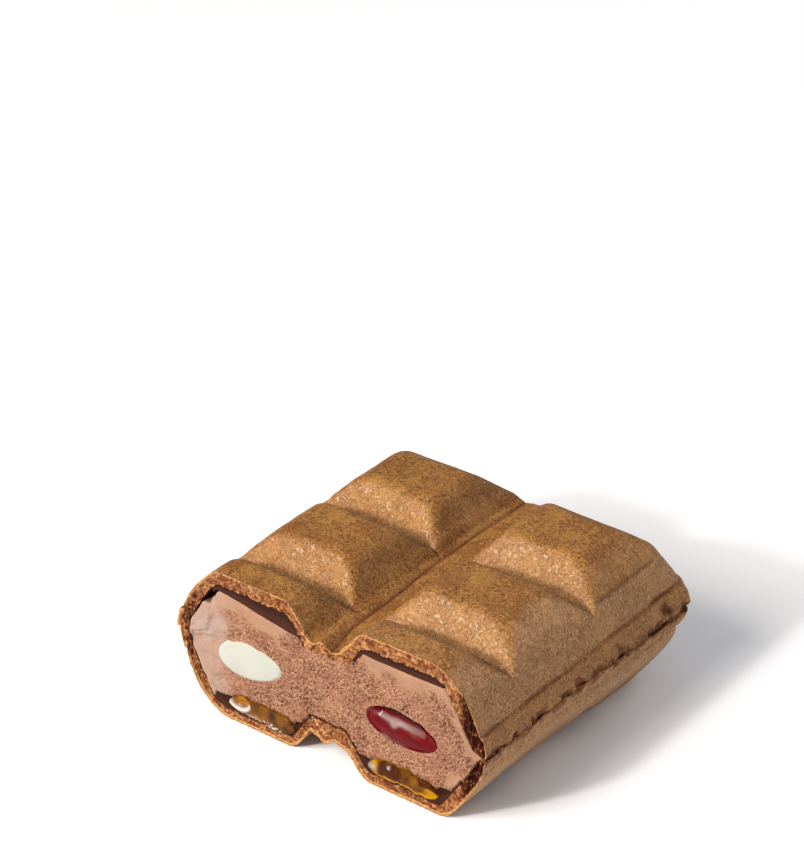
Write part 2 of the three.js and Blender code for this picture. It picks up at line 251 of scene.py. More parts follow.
class Body:
    # Patches of points, joined where their edges share places. A point is x, y, z and four shares that
    # the materials read: cut, painted shade (with scorch on the wafer), paleness (frost, painted sheen
    # and painted highlights) and flecks (with painted light on the slopes that face the lamp).
    def __init__(self):
        self.points, self.quads, self.triangles, self.count = [], [], [], 0

    def patch(self, points):
        # a grid of points, with a four-sided face between each two rows and columns
        index = np.arange(points.shape[0] * points.shape[1]).reshape(points.shape[:2]) + self.count
        self.points.append(points.reshape(-1, 7))
        self.count += index.size
        corners = (index[:-1, :-1], index[:-1, 1:], index[1:, 1:], index[1:, :-1])
        self.quads.append(np.stack([c.ravel() for c in corners], -1))
        return index

    def zip(self, fine, coarse):
        # joins a row of many points to a row of few: a fan from each coarse point to its fine ones
        ratio = (len(fine) - 1) // (len(coarse) - 1)
        step = np.arange(len(fine) - 1)
        nearest = coarse[(step % ratio >= ratio / 2) + step // ratio]
        self.triangles.append(np.stack([fine[:-1], fine[1:], nearest], -1))
        middle = fine[np.arange(len(coarse) - 1) * ratio + (ratio + 1) // 2]
        self.triangles.append(np.stack([coarse[:-1], middle, coarse[1:]], -1))

    def build(self, name, sharp=40):
        # points at one place become one, and faces that lose a corner by it triangles or nothing
        points = np.concatenate(self.points)
        _, first, same = np.unique(np.round(points[:, :3] * 1e4), axis=0, return_index=True,
                                   return_inverse=True)
        points, same = points[first], same.ravel()
        quads = same[np.concatenate(self.quads)]
        triangles = [same[t] for t in self.triangles]
        narrow = np.zeros(len(quads), bool)
        for a, b, rest in ((0, 1, (1, 2, 3)), (1, 2, (0, 1, 3)), (2, 3, (0, 1, 2)), (3, 0, (0, 1, 2))):
            joined = (quads[:, a] == quads[:, b]) & ~narrow
            triangles.append(quads[joined][:, rest])
            narrow |= joined
        quads = quads[~narrow]
        triangles = np.concatenate(triangles)
        apart = triangles != np.roll(triangles, 1, axis=1)
        triangles = triangles[apart.all(axis=1)]
        mesh = bpy.data.meshes.new(name)
        mesh.vertices.add(len(points))
        mesh.vertices.foreach_set("co", toScene(points[:, :3]).astype(np.float32).ravel())
        mesh.loops.add(quads.size + triangles.size)
        mesh.loops.foreach_set("vertex_index", np.concatenate([quads.ravel(), triangles.ravel()]))
        mesh.polygons.add(len(quads) + len(triangles))
        starts = np.concatenate([np.arange(len(quads)) * 4, quads.size + np.arange(len(triangles)) * 3])
        mesh.polygons.foreach_set("loop_start", starts)
        mesh.update(calc_edges=True)
        for column, attribute in ((3, "cut"), (4, "shadeAndScorch"), (5, "paleAndSheen"), (6, "flecksAndLight")):
            layer = mesh.attributes.new(attribute, "FLOAT", "POINT")
            layer.data.foreach_set("value", points[:, column].astype(np.float32))
        turned = bmesh.new()
        turned.from_mesh(mesh)
        bmesh.ops.recalc_face_normals(turned, faces=turned.faces)
        turned.to_mesh(mesh)
        turned.free()
        mesh.shade_smooth()
        mesh.set_sharp_from_angle(angle=math.radians(sharp))
        piece = bpy.data.objects.new(name, mesh)
        bpy.context.scene.collection.objects.link(piece)
        return piece


def toScene(points):
    # from millimetres at the seam and the cut to the frame's metres, whose origin is the base's middle
    return (points + np.array([0, -bar["length"] / 2, bar["halfHeight"]])) / 1000


def pointsOf(x, y, z, cut=0.0, shadeAndScorch=0.0, paleAndSheen=0.0, flecksAndLight=0.0):
    # places and shares as one array, each spread to the same shape
    parts = np.broadcast_arrays(x, y, z, cut, shadeAndScorch, paleAndSheen, flecksAndLight)
    return np.stack([np.asarray(part, float) for part in parts], -1)


def sheetBody(name, over, under, linesX, linesY, cutRows, relief, ratio=3, fineRows=3, wallRows=1,
              underEvery=1, sharp=40):
    # A closed body between two sheets over a grid. Its lines are ratio times as close near the cut,
    # where the relief gives the depth of the face between the sheets, and its cut, painted shade and
    # paleness. The sheet below may have fewer lines along the bar than the one above.
    body = Body()
    steps = np.arange(ratio * (len(linesX) - 1) + 1) / ratio
    fineX = np.interp(steps, np.arange(len(linesX)), linesX)
    nearX, nearY = np.meshgrid(fineX, linesY[:fineRows])
    farX, farY = np.meshgrid(linesX, linesY[fineRows:])
    near = {"over": over(nearX, nearY), "under": under(nearX, nearY)}
    far = {"over": over(farX, farY), "under": under(farX, farY)}
    share = np.linspace(0, 1, cutRows + 1)[:, None, None]
    cutFace = near["under"][0] * (1 - share) + near["over"][0] * share
    depthAndShares = relief(cutFace[..., 0], cutFace[..., 2], share[:, :, 0], near["under"][:1, :, 2],
                            near["over"][:1, :, 2])
    for column, part in zip((1, 3, 4, 5), depthAndShares):
        cutFace[..., column] = part
    near["under"][0], near["over"][0] = cutFace[0], cutFace[-1]
    cutIndex = body.patch(cutFace)
    farIndex = {}
    for layer, every in (("over", 1), ("under", underEvery)):
        nearIndex = body.patch(near[layer])
        farIndex[layer] = body.patch(far[layer][::every])
        body.zip(nearIndex[-1], farIndex[layer][0])
    path = lambda layer: np.concatenate([
        near[layer][1:, 0], far[layer][:, 0], far[layer][-1, 1:], far[layer][-2::-1, -1],
        near[layer][:0:-1, -1]])
    top, bottom = path("over"), path("under")
    share = np.linspace(0, 1, wallRows + 1)[:, None, None]
    wallIndex = body.patch(bottom * (1 - share) + top * share)
    body.zip(cutIndex[:, 0], wallIndex[:, 0])
    body.zip(cutIndex[:, -1], wallIndex[:, -1])
    if underEvery > 1:
        start, count = fineRows - 1, len(far["under"])
        body.zip(wallIndex[0, start:start + count], farIndex["under"][:, 0])
        body.zip(wallIndex[0, ::-1][start:start + count], farIndex["under"][:, -1])
    return body.build(name, sharp)


# The wafer shells. Waves are a height and a size in mm and a seed, for each size of wave.
wafer = {
    "linesAcross": 270,  # lines over the profile at the cut, about 0.35 mm apart
    "linesAlong": 192,
    "cutRows": 20,  # rows of points through the wall at the cut
    "rimRows": 5,
    "underEvery": 3,  # the inner face has every third of the lines along the bar
    "samples": 6001,
    "skinWaves": ((0.1, 9, 0), (0.05, 3.4, 1), (0.03, 1.1, 2), (0.02, 0.6, 3)),
    "innerWaves": ((0.28, 1.3, 0), (0.16, 0.45, 1)),
    "crackWaves": ((0.5, 1.3, 37), (0.3, 0.5, 39)),
    "tearWaves": ((0.7, 0.9, 61), (0.35, 0.45, 62)),
    "frostWaves": ((0.08, 2.1, 75), (0.05, 0.8, 76)),
    "scorchWaves": ((1, 1.5, 72), (0.6, 0.6, 73)),
    "crumbWaves": ((1, 0.8, 7), (0.5, 0.33, 8)),
    # pores at the cut: spacing, least and greatest radius in mm, and seed
    "coarsePores": (0.9, (0.15, 0.6), 5),
    "finePores": (0.42, (0.1, 0.27), 6),
    "skin": 0.4,  # dense skin that shows as a pale line at the cut, mm
    "crumbDepth": 0.6,  # how far the pores reach in, mm
    "seamCrack": 0.5,  # half of the seam's widest opening at the rim, mm
    "seamSag": 1.6,  # how far the seam sags near the far corner on +X, mm
    "tearDepth": 1.0,
    "tearSpan": 66,  # the tears come again after that many mm of rim
    "crushedAt": 55.4,  # places along the rim, from the cut on +X
    "flushAt": 62,
    "notchAt": 31.1,  # where the grooves end, from the middle
    "shoulderRise": 10.4,  # height of the step in the end blocks' flanks
    "cavityEdge": 32.1,
    "cavityEnd": 61.1,
    "cavityRound": 1.2,
    "standGap": 0.02,  # the shell's flat faces stop short of the table by that much
}


def innerRise(x, y, shell):
    # the wafer's inner face, ragged near the cut
    ragged = waves(x, 0 * x, wafer["innerWaves"], shell["seed"])
    return shellRise(x, y, shell, walls=True) + ragged * np.exp(-y / 1.5)


def alongRim(x, y):
    # how far along the rim a place is, from the cut on +X round the closed end to the cut on -X
    return np.where(x > 0, y + bar["halfWidth"] - x, 2 * bar["length"] + bar["halfWidth"] - y - x)


def seamLevel(x, y, shell):
    # the seam is a crack of changing width that closes inwards, and the ice cream wedges it open at
    # the cut on +X
    along = alongRim(x, y)
    crack = 0.6 * ramp(noise(along, 0 * x, 5.2, 31), -0.35, 0.9)
    crack = crack + waves(along, 0 * x, wafer["crackWaves"], shell["seed"])
    opening = wafer["seamCrack"] * np.maximum(crack, 0.06) * fade(rimInset(x, y), 0.2, 1.3)
    wedge = (0.22 + 0.95 * fade(x, 31.3, 34.2)) * ramp(x, 28, 30.5)
    closed = bar["seam"] * (0.15 + 0.85 * ramp(y, 1, 4))
    return closed + opening * ramp(y, 2, 5) + wedge * fade(y, 1.0, 4.5)


def tearDepth(x, y, rise, shell):
    # Tears are ragged wedges that start at the seam and narrow upwards. Between them the edge is
    # chipped, and near the far corner on +X the flange is crushed in.
    along, seed = alongRim(x, y), shell["seed"]
    jag = waves(along, rise, wafer["tearWaves"], seed)
    depth = np.zeros(np.broadcast(x, y).shape)
    for place, height in shell["tears"]:
        share = np.clip(1 - rise / height, 0, 1)
        across = np.abs(along % wafer["tearSpan"] - place + 0.35 * rise + 0.8 * jag) / (0.6 + 1.9 * share)
        depth = np.maximum(depth, wafer["tearDepth"] * ramp(1 - across, 0, 0.7) * np.sqrt(share))
    chips = noise(along, 0 * rise, 1.7, seed + 65) + 0.5 * noise(along, rise, 0.6, seed + 66)
    depth = np.maximum(depth, 0.75 * ramp(chips, 0.1, 0.9) * fade(rise, 0.9, 1.9))
    crushed = (0.7 * noise(along + 0.5 * rise, rise, 1.3, seed + 63)
               + 0.4 * noise(along, rise, 0.6, seed + 64) + 0.5 * bell(along, wafer["crushedAt"], 3.0))
    return depth + (shell["crumple"] * bell(along, wafer["crushedAt"], 3.1) * bell(rise, 1.6, 1.9)
                    * ramp(crushed, -0.2, 0.9))


def slopesOf(height, x, y, step=0.06):
    # how much a height rises for each mm along X and along Y, from its values a step to both sides
    return ((height(x + step, y) - height(x - step, y)) / (2 * step),
            (height(x, y + step) - height(x, y - step)) / (2 * step))


def foldLine(y):
    # where the crease between the columns runs
    return -0.8 + 1.7 * fade(y, 0, 9) + 0.8 * noise(y, 0 * y, 17, 5)


def setBack(x, y, shell):
    # a rim stands back from the other shell's, but for the crushed far corner, where they are flush
    return shell["setBack"] * (1 - 0.85 * bell(alongRim(x, y), wafer["flushAt"], 9))


def seamSag(x, y, rise):
    # towards the far corner on +X the seam sags, and the flanges' skin with it
    return wafer["seamSag"] * ramp(y, 20, 56) * ramp(x, 24, 32) * fade(rise, 0, 5.5)


def skinLift(x, y, rise, shell):
    # relief on the outer skin, along its normal, and how deep a place lies in a crease (0 to 1), which
    # the wafer's colour darkens as painted shade
    u, seed = np.abs(x), shell["seed"]
    line = foldLine(y)
    inValley = fade(u, 4.2, 6) * fade(y, 60, 62)
    nearCut = fade(y, 0.5, 5)
    bead = (0.45 + 0.65 * nearCut) * bell(x, line - 2.2, 1.15) - 0.5 * nearCut * bell(x, -4.1, 0.5)
    crease = fold(x, line, 0.38) * inValley
    lift = waves(x, y, wafer["skinWaves"], seed)
    lift = lift + inValley * (bead + 0.35 * ramp(x - line, 0.3, 2.4)) - 0.42 * crease
    onGroove = ramp(u, 1, 3) * fade(u, 29.6, 30.8)
    for row in range(bar["rowCount"] - 1):
        # a crease across, which ends in a notch with a raised lip
        middle = (row + 0.5) * bar["rowPitch"] + 0.3 * noise(x, 0 * x, 6, seed + 20 + row)
        cross = fold(y, middle, 0.35) * onGroove
        crease = np.maximum(crease, cross)
        lift = lift - 0.34 * cross + 0.3 * spot(u, y, wafer["notchAt"], middle + 0.7, 0.55, 0.8)
    # the flank's foot is dented along the flange
    above = rise - shell["flangeRise"]
    uneven = 0.7 + 0.5 * noise(alongRim(x, y), 0 * x, 5, seed + 9)
    lift = lift - (0.65 * bell(above, 0.6, 0.55) + 0.25 * bell(above, 1.9, 1.3)) * uneven
    lift = lift + 0.14 * bell(above, -0.3, 0.4)
    crease = np.maximum(crease, bell(above, 0.35, 0.3) * np.clip(uneven + 0.1, 0, 1))
    shoulder = bell(rise, wafer["shoulderRise"], 0.35) * (u > 20)
    shoulder = shoulder * ramp(y, 36.5, 38) * fade(y, 55.5, 57)
    swelling = ramp(x, 18, 27) * ramp(y, 14, 50) * ramp(rise, 3.6, 6.5)
    return lift - 0.22 * shoulder + shell["swelling"] * swelling, np.maximum(crease, 0.6 * shoulder)


def pushedIn(x, y, distance):
    # moves points inwards from the rim, less and less towards the middle and never past one another
    distance = distance * fade(rimInset(x, y), 0, np.maximum(2.6, 2.5 * distance))
    across = np.maximum(np.abs(x) - (bar["halfWidth"] - bar["cornerRadius"]), 0)
    along = np.maximum(y - (bar["length"] - bar["cornerRadius"]), 0)
    far = np.maximum(np.hypot(across, along), 1e-6)
    return x - np.sign(x) * distance * across / far, y - distance * along / far


def frostOn(x, y, rise, slopeX, slopeY, shell):
    # frost and flour lie on the slopes towards the cut, on the flanks and on the flange, and in flecks at
    # the upper edges of the slopes. On the slopes towards the cut, which face the lamp, the veil is partly
    # painted sheen and the flecks' share paints light; the tops on +X near the cut are made paler.
    steep = np.sqrt(1 + slopeX ** 2 + slopeY ** 2)
    frontFacing = ramp(slopeY / steep, 0.3, 0.7)
    ragged = waves(x, y, wafer["frostWaves"], shell["seed"])
    sideFacing = ramp(-slopeX * np.sign(x) / steep + ragged, 0.3, 0.62) * ramp(np.abs(x) + 8 * ragged, 24, 27)
    onShoulder = ramp(y, 37, 39) * ramp(rise, 10, 10.8)
    paleAndSheen = np.maximum(0.8 * sideFacing * (1 - 0.65 * onShoulder),
                       (0.42 + 0.2 * ramp(x, -5, 10)) * frontFacing) * ramp(rise, 4.2, 5.2)
    paleAndSheen = np.maximum(paleAndSheen * shell["frosted"], shell["flangeFrost"] * fade(rise, 4.0, 4.4))
    paleAndSheen = np.maximum(paleAndSheen, 0.16 * ramp(x, 2, 9) * fade(y, 3, 30))
    flecksAndLight = frontFacing * (0.35 + 0.65 * ramp(rise, 10.0, 13.0))
    return paleAndSheen, np.maximum(flecksAndLight, 0.25 * ramp(-slopeX / steep, 0.5, 0.7) * ramp(rise, 9.5, 11))


def waferShell(name, shell):
    # between its skin, which carries the relief, and its inner face, which meets the seam
    seed = shell["seed"]
    outer = lambda x, y: shellRise(x, y, shell)

    def over(lineX, lineY):
        x, y = onFootprint(lineX, lineY)
        rise = outer(x, y)
        slopeX, slopeY = slopesOf(outer, x, y)
        lift, crease = skinLift(x, y, rise, shell)
        out = lift / np.sqrt(1 + slopeX ** 2 + slopeY ** 2)
        along = alongRim(x, y)
        torn = tearDepth(x, y, rise, shell) * fade(rise, 4.6, 6)
        buckled = (0.2 * noise(along, 0.5 * rise, 3.9, seed + 71)
                   + 0.1 * noise(along, rise, 1.5, seed + 74) + 0.12) * ramp(y, 1, 4)
        pushX, pushY = pushedIn(x, y, setBack(x, y, shell) + torn + buckled)
        # the skin near the seam is scorched in blotches, and its tears are darkened as painted shade
        scorched = ramp(waves(along, rise, wafer["scorchWaves"], seed), -0.15, 0.75)
        dark = np.maximum(scorched * fade(rise, 1.0, 2.9), ramp(torn, 0.1, 0.7))
        height = rise + out
        if shell["sign"] < 0:
            height = np.minimum(height, bar["halfHeight"] - wafer["standGap"])
        paleAndSheen, flecksAndLight = frostOn(x, y, rise, slopeX, slopeY, shell)
        return pointsOf(pushX - slopeX * out, pushY - slopeY * out * ramp(y, 0, 1.2),
                        height * shell["sign"] - seamSag(x, y, rise), 0, np.maximum(crease, 0.85 * dark),
                        paleAndSheen, flecksAndLight)

    def under(lineX, lineY):
        x, y = onFootprint(lineX, lineY)
        inside = insetFrom(x, y, wafer["cavityEdge"], wafer["cavityEnd"], wafer["cavityRound"]) > 0
        level = seamLevel(x, y, shell)
        rise = np.where(inside, np.maximum(innerRise(x, y, shell), level), level)
        pushX, pushY = pushedIn(x, y, setBack(x, y, shell) + tearDepth(x, y, level, shell))
        inShell = ramp(rimInset(x, y), 0.6, 1.6)
        sag = np.where(inside, 0, seamSag(x, y, level))
        # the inner face is darkened as painted shade, the skin at the rim most
        return pointsOf(pushX, pushY, rise * shell["sign"] - sag, inShell, 1 - 0.4 * inShell)

    def relief(x, z, share, bottom, top):
        # a pale dense skin, and inside it crumb with pores that are largest in the flanges
        slopeX, _ = slopesOf(outer, x[:1], 0 * x[:1])
        tilt = 1 / np.sqrt(1 + slopeX ** 2)
        fromRim = np.where(np.abs(z) < 3.6, bar["halfWidth"] - np.abs(x) - 0.05, 9)
        fromSkin = np.minimum(np.abs(z - top) * tilt, fromRim)
        fromInside = np.abs(z - bottom) * tilt
        fromSkin = fromSkin + 0.13 * noise(x, 0 * z, 1.3, seed + 12) * ramp(fromSkin, 0.05, 0.3)
        inCrumb = ramp(fromSkin, 0.16, wafer["skin"] + 0.12)
        flange = ramp(x, 28.5, 31) + 0.25 * ramp(-x, 28.5, 31)
        coarse, fine = (dimples(x, z, spacing, radii, seed + more)
                        for spacing, radii, more in (wafer["coarsePores"], wafer["finePores"]))
        ragged = (0.35 + 0.5 * flange) * ramp(waves(x, z, wafer["crumbWaves"], seed), 0.0, 0.7)
        pore = np.maximum(np.maximum(coarse * (0.55 + 0.65 * flange), 0.45 * fine), ragged)
        depth = inCrumb * (0.1 + wafer["crumbDepth"] * pore * (0.8 + 0.7 * flange))
        depth = depth * ramp(fromInside, -0.3, 0.15) + 0.05 * noise(x, z, 0.4, seed + 9)
        crumbShare = ramp(fromSkin, wafer["skin"] - 0.12, wafer["skin"] + 0.2)
        # the third share is painted shade in the pores, and a little all over the flanges' crumb
        return (depth - 0.06 * (1 - inCrumb),
                shell["paleEdge"] * ramp(fromSkin, 0.0, 0.05) * (1 - crumbShare) + crumbShare,
                inCrumb * np.clip(pore * (1.1 + 0.6 * flange) + 0.32 * flange, 0, 1),
                (noise(x, z, 0.9, seed + 10) * 0.5 + 0.5) * (1 - 0.6 * flange))

    # the grid's lines are closer at the rims, in the valley and in the grooves
    profileX = np.linspace(-bar["halfWidth"], bar["halfWidth"], wafer["samples"])
    closerX = 1 + 1.2 * (np.abs(profileX) > 33.2) + 1.0 * bell(profileX, -0.3, 2.2)
    linesX = linesByLength(profileX, outer(profileX, 0 * profileX), wafer["linesAcross"], closerX)
    profileY = np.linspace(0, bar["length"], wafer["samples"])
    nearGroove = np.abs((profileY / bar["rowPitch"]) % 1 - 0.5) * bar["rowPitch"]
    closerY = 1 + 0.8 * bell(nearGroove, 0, 0.9) * (profileY < 40)
    linesY = linesByLength(profileY, outer(0 * profileY + 16.6, profileY), wafer["linesAlong"], closerY)
    linesY = np.concatenate([[0, 0.22], linesY[1:]])
    return sheetBody(name, over, under, linesX, linesY, wafer["cutRows"], relief,
                     wallRows=wafer["rimRows"], underEvery=wafer["underEvery"])


print("wafer shells")
waferUpper = waferShell("wafer_shell_upper", upperShell)
waferLower = waferShell("wafer_shell_lower", lowerShell)

# The sauces, which lie in the chocolate linings. Places are x and z.
chocolate = {
    "linesAcross": 70,
    "linesAlong": 70,
    "cutRows": 8,
    "recess": 0.3,  # how far behind the cut the chocolate broke, mm
    "clear": 0.12,  # gap to the wafer
    "waves": ((0.06, 2.2, 0), (0.03, 0.5, 1)),
}
sauceGrid = {"across": 56, "along": 60, "cutRows": 30}
sauceLeft = {"middle": -15.3, "half": 7.6, "low": -13.5, "high": -9.6, "overGroove": -6.4, "seed": 71,
             "waves": ((0.14, 2.6, 75), (0.03, 0.7, 76)), "bowl": (-20.4, -10.7), "bowlSize": (2.3, 1.6),
             "bubbles": (0.95, (0.3, 0.5), 77), "bubblesAt": (-12.8, -14.5)}
sauceRight = {"middle": 16.7, "half": 7.6, "low": -13.4, "high": -9.7, "overGroove": -6.4, "seed": 73,
              "waves": ((0.12, 1.9, 79), (0.04, 0.6, 80)), "bubble": (13.9, -10.1), "lump": (12.3, -12.6),
              # the milk spot is a painted highlight at the honey's left end
              "milk": (9.9, -11.4)}


def lowerWall(x, y):
    # the level that what lies in the lower shell rests on
    return -innerRise(x, y, lowerShell) + chocolate["clear"]


def underWafer(x, y):
    # the level that what hangs under the upper shell rises to
    return innerRise(x, y, upperShell) - chocolate["clear"]


def sauceShape(sauce, x, y):
    # a lens across X that rises where it passes over a groove of the lower shell
    middle = sauce["middle"] + 0 * x
    smooth = lambda a, b: -shellRise(a, b, lowerShell, walls=True)
    inBlock, groove = smooth(middle, 0 * y), smooth(middle, 0 * y + bar["rowPitch"] / 2)
    overGroove = np.clip((smooth(middle, y) - inBlock) / (groove - inBlock), 0, 1)
    bulge = np.sqrt(np.maximum(1 - np.abs((x - sauce["middle"]) / sauce["half"]) ** 3, 0))
    centre = (sauce["low"] + sauce["high"]) / 2
    floor = lowerWall(x, y) + 0.3
    uneven = waves(x, 0 * x, ((0.25, 2.2, 0), (0.15, 0.9, 1)), sauce["seed"]) * np.exp(-y / 2)
    under = np.maximum(np.maximum(floor, sauce["low"] + uneven),
                       centre - 0.15 - (centre - sauce["low"]) * bulge)
    crest = sauce["high"] + (sauce["overGroove"] - sauce["high"]) * overGroove + uneven
    return np.maximum(centre + 0.15 + (crest - centre) * bulge, under + 0.4), under


def sauceBody(name, sauce, front):
    # between the two heights of its shape, with the front that a function gives
    def relief(x, z, share, bottom, top):
        # it stands forward like a drop that its own skin holds
        skin = -0.3 * np.sqrt(np.clip(1 - (2 * share - 1) ** 4, 0, 1)) + waves(x, z, sauce["waves"])
        depth, shade, paintedHighlight = front(x, z, share, skin)
        return depth, shade, 0, paintedHighlight

    over, under = (lambda x, y, side=side: pointsOf(x, y, sauceShape(sauce, x, y)[side], 0.5)
                   for side in (0, 1))
    linesX = sauce["middle"] - sauce["half"] * np.cos(np.linspace(0, math.pi, sauceGrid["across"]))
    linesY = np.concatenate([[0, 0.4, 0.9], np.linspace(1.5, bar["fillingEnd"], sauceGrid["along"])])
    return sheetBody(name, over, under, linesX, linesY, sauceGrid["cutRows"], relief, sharp=60)


def caramelFront(x, z, share, skin):
    # How deep the front lies, its shade from dark (0) to bright (1), and a painted highlight. A bowl near
    # the left end has the highlight as a crescent round its lower side, small bubbles sit low on the right
    # with painted glints on them, and a painted haze lies low, left of the middle.
    across, up = ((place - middle) / size for place, middle, size in
                  zip((x, z), sauceLeft["bowl"], sauceLeft["bowlSize"]))
    ring = np.hypot(across, up)
    lower = ramp(0.45 * ring - up, 0, 0.6 * ring)
    skin = skin * ramp(ring, 0.9, 1.3) + 0.6 * fade(ring, 0.3, 1.0) - 0.25 * bell(ring, 1.05, 0.2)
    bubbleX, bubbleZ = sauceLeft["bubblesAt"]
    bubbles = dimples(x, z, *sauceLeft["bubbles"]) * bell(z + 0.1 * x, bubbleZ, 1.0) * bell(x, bubbleX, 3.0)
    shade = 0.32 + 0.3 * noise(x, z, 2.1, 78) + 0.5 * fade(ring, 0.4, 0.9)
    paintedHighlight = bell(ring, 1.0 - 0.12 * across, 0.2) * lower + 0.9 * ramp(bubbles, 0.2, 0.6)
    paintedHighlight = paintedHighlight + 0.35 * bell(x, -17.6, 2.2) * bell(share, 0.12, 0.12)
    return skin - 0.45 * bubbles, shade - 0.3 * ramp(x, -12, -8), paintedHighlight


def honeyFront(x, z, share, skin):
    # brown where it is deep, bright where it is thin: at both ends and along the lower edge; painted
    # highlights lie at its left end and on a bubble
    skin = skin - 0.3 * spot(x, z, *sauceRight["bubble"], 0.45, 0.45)
    skin = skin - 0.25 * spot(x, z, *sauceRight["lump"], 0.35, 0.35)
    wavy = 0.06 * noise(x, 0 * x, 2.4, 82)
    low = ramp(0.3 - share + wavy, 0.0, 0.18) * ramp(x, 10, 13)
    low = np.maximum(low, ramp(x, 20.5, 23) * ramp(0.8 - share, 0, 0.2))
    shade = low - 0.12 + 0.75 * bell(x, 10.6, 0.8) + 0.2 * bell(x, 18, 2.2) * (1 - low)
    paintedHighlight = 0.5 * spot(x, z, *sauceRight["milk"], 0.91, 0.7)
    paintedHighlight = paintedHighlight + 0.8 * spot(x, z, *sauceRight["bubble"], 0.3, 0.3)
    return skin, shade + 0.16 * noise(x, z, 1.3, 81) * (1 - low), paintedHighlight


print("sauces")
sauces = [sauceBody("caramel_sauce", sauceLeft, caramelFront),
          sauceBody("honey_sauce", sauceRight, honeyFront)]

# Chocolate plates and linings: x from and to, and the level of the free face at each of them.
plateLeft = {"from": -26.0, "to": -5.2, "level": (11.6, 8.4), "least": 0.9, "seed": 41}
plateRight = {"from": 6.2, "to": 25.6, "level": (10.9, 11.2), "least": 0.9, "seed": 43}
liningLeft = {"from": -26.6, "to": -4.4, "level": (-11.3, -9.7), "least": 0.5, "seed": 45, "sauce": sauceLeft}
liningRight = {"from": 5.8, "to": 29.0, "level": (-10.6, -9.9), "least": 0.5, "seed": 47, "sauce": sauceRight}


def levelOf(part, x):
    # a straight line between the levels at the part's two edges
    share = np.clip((x - part["from"]) / (part["to"] - part["from"]), 0, 1)
    return part["level"][0] + (part["level"][1] - part["level"][0]) * share


def plateUnder(part, x, y):
    # the plate's free face: its level, a little wavy, and under the wafer by its least thickness
    wavy = 0.12 * noise(x, 0 * x, 3.1, part["seed"])
    return np.minimum(levelOf(part, x) + wavy, underWafer(x, y) - part["least"])


def liningOver(part, x, y):
    # the trough's top edge, which dips below the sauce that lies in it
    sauce = part["sauce"]
    within = fade(np.abs(x - sauce["middle"]), sauce["half"] - 0.9, sauce["half"] + 0.1)
    crest = sauceShape(sauce, x, y)[0]
    level = levelOf(part, x)
    level = level + (np.minimum(crest - 0.5, level) - level) * within
    return np.maximum(level, lowerWall(x, y) + part["least"] * (1 - 0.5 * within))


def behindSauce(sauce, x, z):
    # the lining's cut face stands back where the sauce lies in front of it
    centre, height = (sauce["low"] + sauce["high"]) / 2, (sauce["high"] - sauce["low"]) / 2
    away = np.hypot((x - sauce["middle"]) / sauce["half"], (z - centre) / height)
    return 1.2 * ramp(1 - away, 0.05, 0.25)


def chocolateBody(name, part, over, under):
    # between two heights, snapped a little behind the cut
    def relief(x, z, share, bottom, top):
        depth = chocolate["recess"] + waves(x, z, chocolate["waves"], part["seed"])
        if "sauce" in part:
            depth = depth + behindSauce(part["sauce"], x, z)
        # painted shade: the cut face darkens towards its top, where the plates lie under the wafer
        return depth, fade(share, 0.35, 0.8)

    over, under = (lambda x, y, height=height: pointsOf(x, y, height(x, y)) for height in (over, under))
    linesX = np.linspace(part["from"], part["to"], chocolate["linesAcross"])
    linesY = np.concatenate([[0, 0.5, 1.0], np.linspace(1.6, bar["fillingEnd"], chocolate["linesAlong"])])
    return sheetBody(name, over, under, linesX, linesY, chocolate["cutRows"], relief)


print("chocolate")
plates = [chocolateBody("chocolate_plate_" + side, part, underWafer, lambda x, y: plateUnder(part, x, y))
          for side, part in (("l", plateLeft), ("r", plateRight))]
linings = [chocolateBody("chocolate_lining_" + side, part, lambda x, y: liningOver(part, x, y), lowerWall)
           for side, part in (("l", liningLeft), ("r", liningRight))]

# Cores in the ice cream.
creamCore = {"x": -17.9, "z": -1.15, "halfWidth": 7.5, "halfHeight": 3.7, "lean": 7, "taper": 0.12,
             "ragged": 0.3, "seed": 51}
berryCore = {"x": 16.5, "z": -1.05, "halfWidth": 7.9, "halfHeight": 3.5, "lean": -2, "taper": 0.02,
             "ragged": 0.3, "seed": 53, "frontLean": -6,
             # crevices under the upper edge, painted dark as shade: place, half width and half height
             "crevices": ((15.2, 2.3, 1.0, 0.5), (18.6, 2.1, 0.8, 0.7), (21.3, 1.3, 0.6, 0.4))}
cores = {"rings": 56, "sides": 220, "along": 40, "endRows": 9, "samples": 1441}


def coreOutline(core, angle):
    # an ellipse that narrows towards +X, leans, and has a ragged upper edge
    up = np.sin(angle)
    ragged = core["ragged"] * noise(angle * 4, 0 * angle, 1.0, core["seed"]) * ramp(up, 0.1, 0.6)
    ragged = ragged + 0.06 * noise(angle * 3, 0 * angle, 1.0, core["seed"] + 1) * np.sin(angle / 2)
    across = np.cos(angle) * core["halfWidth"]
    rise = up * (core["halfHeight"] * (1 - core["taper"] * np.cos(angle)) + ragged)
    lean = math.radians(core["lean"])
    return across * math.cos(lean) - rise * math.sin(lean), across * math.sin(lean) + rise * math.cos(lean)


def insideCore(core, x, z):
    # 0 in the middle of the core and 1 on its outline, read from the outline's own reach
    outX, outZ = coreOutline(core, np.linspace(0, 2 * math.pi, cores["samples"]))
    bearing, reach = np.arctan2(outZ, outX), np.hypot(outX, outZ)
    order = np.argsort(bearing)
    dx, dz = x - core["x"], z - core["z"]
    at = np.interp(np.arctan2(dz, dx), bearing[order], reach[order], period=2 * math.pi)
    return np.hypot(dx, dz) / at


